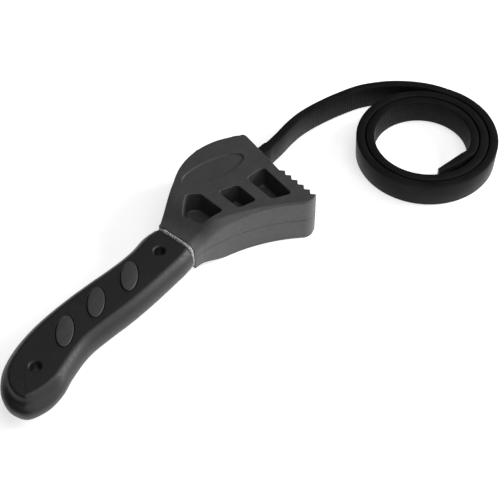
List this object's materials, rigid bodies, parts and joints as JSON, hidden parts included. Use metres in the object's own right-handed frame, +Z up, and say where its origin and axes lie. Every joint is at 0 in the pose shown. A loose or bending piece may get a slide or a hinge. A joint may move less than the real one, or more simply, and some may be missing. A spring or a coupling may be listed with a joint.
{
  "type": "rubber strap oil filter wrench",
  "caption": "Flat strap wrench for oil filters: a fin-shaped head with a toothed jaw, a soft rubber grip, and a flat rubber strap anchored in the head, its free end coiled.",
  "frame": {"origin": "axis of the rear hang hole, on the parting plane at mid thickness", "axes": "+X along the handle from the hang hole to the head; +Z up through the thickness, with the tool lying flat; +Y towards the rounded back of the head"},
  "size_m": [0.3169, 0.1313, 0.028],
  "materials": {
    "frame_plastic": "charcoal glass-filled nylon, fine eroded mould texture",
    "grip_rubber": "black soft-touch rubber, satin",
    "collar_plastic": "pale grey plastic with a fine sparkle",
    "strap_rubber": "black moulded rubber, finely ribbed on the gripping face"
  },
  "bodies": {
    "wrench": {"head_frame": "frame_plastic", "grip_sleeve": "grip_rubber", "collar_band": "collar_plastic", "strap_root": "strap_rubber"},
    "strap": {"strap_run": "strap_rubber", "strap_coil": "strap_rubber"}
  },
  "joints": [
    {"name": "strap_flex", "type": "hinge", "parent": "wrench", "child": "strap", "pos_m": [0.188, 0.002, 0], "axis": [0, 0, 1], "range_deg": [-25, 25], "stiffness_Nm_per_rad": 0.05}
  ]
}
